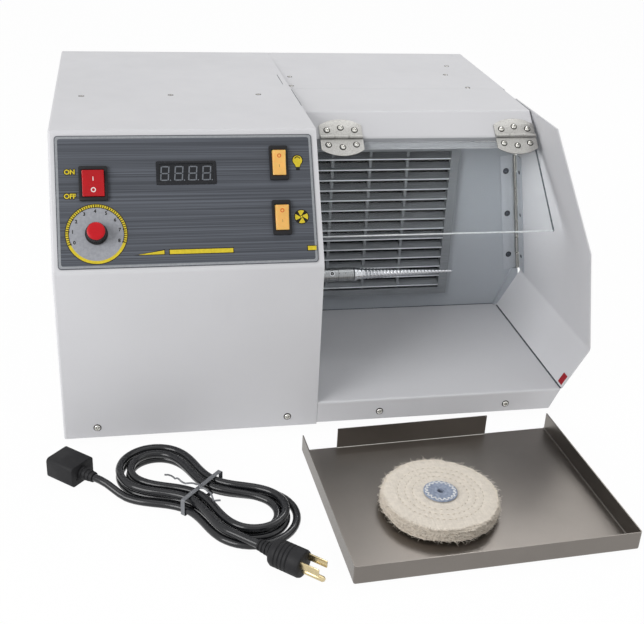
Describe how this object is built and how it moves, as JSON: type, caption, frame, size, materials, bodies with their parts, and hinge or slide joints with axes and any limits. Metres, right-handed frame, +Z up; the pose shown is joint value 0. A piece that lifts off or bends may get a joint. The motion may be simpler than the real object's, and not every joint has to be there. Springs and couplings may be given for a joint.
{
  "type": "jewelry polishing machine",
  "caption": "Bench polishing machine with a leaning control panel, a tapered spindle in a hooded extraction bay with clear shield and hinged side door, dust tray, buff and mains lead.",
  "frame": {"origin": "centre of the machine and its tray, on the bench", "axes": "+X to the right as the user faces the panel, +Y towards the rear, +Z up"},
  "size_m": [0.5287, 0.619, 0.284],
  "materials": {
    "cabinet_shell": "pale grey-white stoved paint, satin",
    "bay_floor": "pale grey-white stoved paint, satin",
    "bay_hood": "pale grey-white stoved paint, satin",
    "rear_top_cover": "pale grey-white stoved paint, satin",
    "side_door": "pale grey-white stoved paint, satin",
    "rear_side_panel": "pale grey-white stoved paint, satin",
    "rear_panel": "pale grey-white stoved paint, satin",
    "partition_wall": "pale grey-white stoved paint, satin",
    "back_wall": "pale grey-white stoved paint, satin",
    "base_pan": "zinc plated sheet",
    "motor_bracket": "zinc plated sheet",
    "speed_potentiometer": "zinc plated sheet",
    "door_hinge_wall_leaf": "grained stainless, satin",
    "door_hinge_door_leaf": "grained stainless, satin",
    "left_hinge_upper_leaf": "grained stainless, satin",
    "left_hinge_lower_leaf": "grained stainless, satin",
    "right_hinge_upper_leaf": "grained stainless, satin",
    "right_hinge_lower_leaf": "grained stainless, satin",
    "door_hinge_pin": "turned bright steel",
    "left_hinge_pin": "turned bright steel",
    "right_hinge_pin": "turned bright steel",
    "spindle_collar": "turned bright steel",
    "tapered_spindle": "turned bright steel",
    "motor_shaft": "turned bright steel",
    "rear_bearing": "turned bright steel",
    "front_bearing": "turned bright steel",
    "shield_panel": "clear acrylic, polished",
    "louvre_grille": "grey satin metal",
    "filter_pad": "matted fibre",
    "fan_frame": "black moulded plastic",
    "fan_impeller": "black moulded plastic",
    "main_switch_body": "black moulded plastic",
    "light_switch_body": "black moulded plastic",
    "fan_switch_body": "black moulded plastic",
    "speed_knob": "black moulded plastic",
    "power_inlet": "black moulded plastic",
    "mains_plug": "black moulded plastic",
    "mains_connector": "black moulded plastic",
    "lead_tie": "black moulded plastic",
    "display_module": "dark smoked window",
    "motor_housing": "dark blue-grey paint",
    "motor_end_cap": "dark blue-grey paint",
    "rotor_core": "laminated iron",
    "collar_set_screw": "blackened steel",
    "control_label": "dark grey printed overlay, satin",
    "main_switch_rocker": "red moulded plastic, glossy",
    "knob_cap": "red moulded plastic, glossy",
    "light_switch_rocker": "amber moulded plastic, glossy",
    "fan_switch_rocker": "amber moulded plastic, glossy",
    "control_board": "green circuit board",
    "lamp_holder": "white moulded plastic",
    "lamp_tube": "white coated glass tube",
    "foot_front_left": "black rubber",
    "foot_front_right": "black rubber",
    "foot_rear_left": "black rubber",
    "foot_rear_right": "black rubber",
    "dust_tray": "brushed stainless sheet",
    "buff_disc": "stitched unbleached cotton",
    "buff_centre": "blue-grey fibre disc",
    "mains_lead_hank": "black sheathed cord"
  },
  "bodies": {
    "machine": {"cabinet_shell": "cabinet_shell", "bay_floor": "bay_floor", "bay_hood": "bay_hood", "rear_top_cover": "rear_top_cover", "rear_side_panel": "rear_side_panel", "rear_panel": "rear_panel", "partition_wall": "partition_wall", "back_wall": "back_wall", "base_pan": "base_pan", "motor_bracket": "motor_bracket", "speed_potentiometer": "speed_potentiometer", "door_hinge_wall_leaf": "door_hinge_wall_leaf", "left_hinge_upper_leaf": "left_hinge_upper_leaf", "right_hinge_upper_leaf": "right_hinge_upper_leaf", "door_hinge_pin": "door_hinge_pin", "left_hinge_pin": "left_hinge_pin", "right_hinge_pin": "right_hinge_pin", "rear_bearing": "rear_bearing", "front_bearing": "front_bearing", "louvre_grille": "louvre_grille", "filter_pad": "filter_pad", "fan_frame": "fan_frame", "main_switch_body": "main_switch_body", "light_switch_body": "light_switch_body", "fan_switch_body": "fan_switch_body", "power_inlet": "power_inlet", "mains_plug": "mains_plug", "mains_connector": "mains_connector", "lead_tie": "lead_tie", "display_module": "display_module", "motor_housing": "motor_housing", "motor_end_cap": "motor_end_cap", "control_label": "control_label", "control_board": "control_board", "lamp_holder": "lamp_holder", "lamp_tube": "lamp_tube", "foot_front_left": "foot_front_left", "foot_front_right": "foot_front_right", "foot_rear_left": "foot_rear_left", "foot_rear_right": "foot_rear_right", "mains_lead_hank": "mains_lead_hank"},
    "side_door": {"side_door": "side_door", "door_hinge_door_leaf": "door_hinge_door_leaf"},
    "shield": {"shield_panel": "shield_panel", "left_hinge_lower_leaf": "left_hinge_lower_leaf", "right_hinge_lower_leaf": "right_hinge_lower_leaf"},
    "main_rocker": {"main_switch_rocker": "main_switch_rocker"},
    "light_rocker": {"light_switch_rocker": "light_switch_rocker"},
    "fan_rocker": {"fan_switch_rocker": "fan_switch_rocker"},
    "knob": {"speed_knob": "speed_knob", "knob_cap": "knob_cap"},
    "spindle": {"motor_shaft": "motor_shaft", "rotor_core": "rotor_core", "spindle_collar": "spindle_collar", "collar_set_screw": "collar_set_screw", "tapered_spindle": "tapered_spindle"},
    "impeller": {"fan_impeller": "fan_impeller"},
    "tray": {"dust_tray": "dust_tray"},
    "buff": {"buff_disc": "buff_disc", "buff_centre": "buff_centre"}
  },
  "joints": [
    {"name": "side_door_hinge", "type": "hinge", "parent": "machine", "child": "side_door", "pos_m": [0.25374, 0.11244, 0.079], "axis": [-0.1626, 0, 0.9867], "range_deg": [0, 90]},
    {"name": "shield_hinge", "type": "hinge", "parent": "machine", "child": "shield", "pos_m": [0.01895, 0.04017, 0.25919], "axis": [-1, 0, 0], "range_deg": [0, 165]},
    {"name": "main_switch_rock", "type": "hinge", "parent": "machine", "child": "main_rocker", "pos_m": [-0.22015, -0.04324, 0.24421], "axis": [-1, 0, 0], "range_deg": [0, 20]},
    {"name": "light_switch_rock", "type": "hinge", "parent": "machine", "child": "light_rocker", "pos_m": [-0.05485, -0.03423, 0.25791], "axis": [-1, 0, 0], "range_deg": [0, 20]},
    {"name": "fan_switch_rock", "type": "hinge", "parent": "machine", "child": "fan_rocker", "pos_m": [-0.05485, -0.06203, 0.21563], "axis": [-1, 0, 0], "range_deg": [0, 20]},
    {"name": "speed_knob_turn", "type": "hinge", "parent": "machine", "child": "knob", "pos_m": [-0.21905, -0.06621, 0.20546], "axis": [0, 0.8355, -0.5495], "range_deg": [0, 219]},
    {"name": "spindle_spin", "type": "hinge", "parent": "machine", "child": "spindle", "pos_m": [0.03715, 0.01494, 0.122], "axis": [1, 0, 0], "continuous": true},
    {"name": "fan_spin", "type": "hinge", "parent": "machine", "child": "impeller", "pos_m": [0.07695, 0.30344, 0.14], "axis": [0, 1, 0], "continuous": true},
    {"name": "tray_lift", "type": "slide", "parent": "machine", "child": "tray", "axis": [0, 0, 1], "range_m": [0, 0.06]},
    {"name": "buff_lift", "type": "slide", "parent": "tray", "child": "buff", "axis": [0, 0, 1], "range_m": [0, 0.06]}
  ]
}
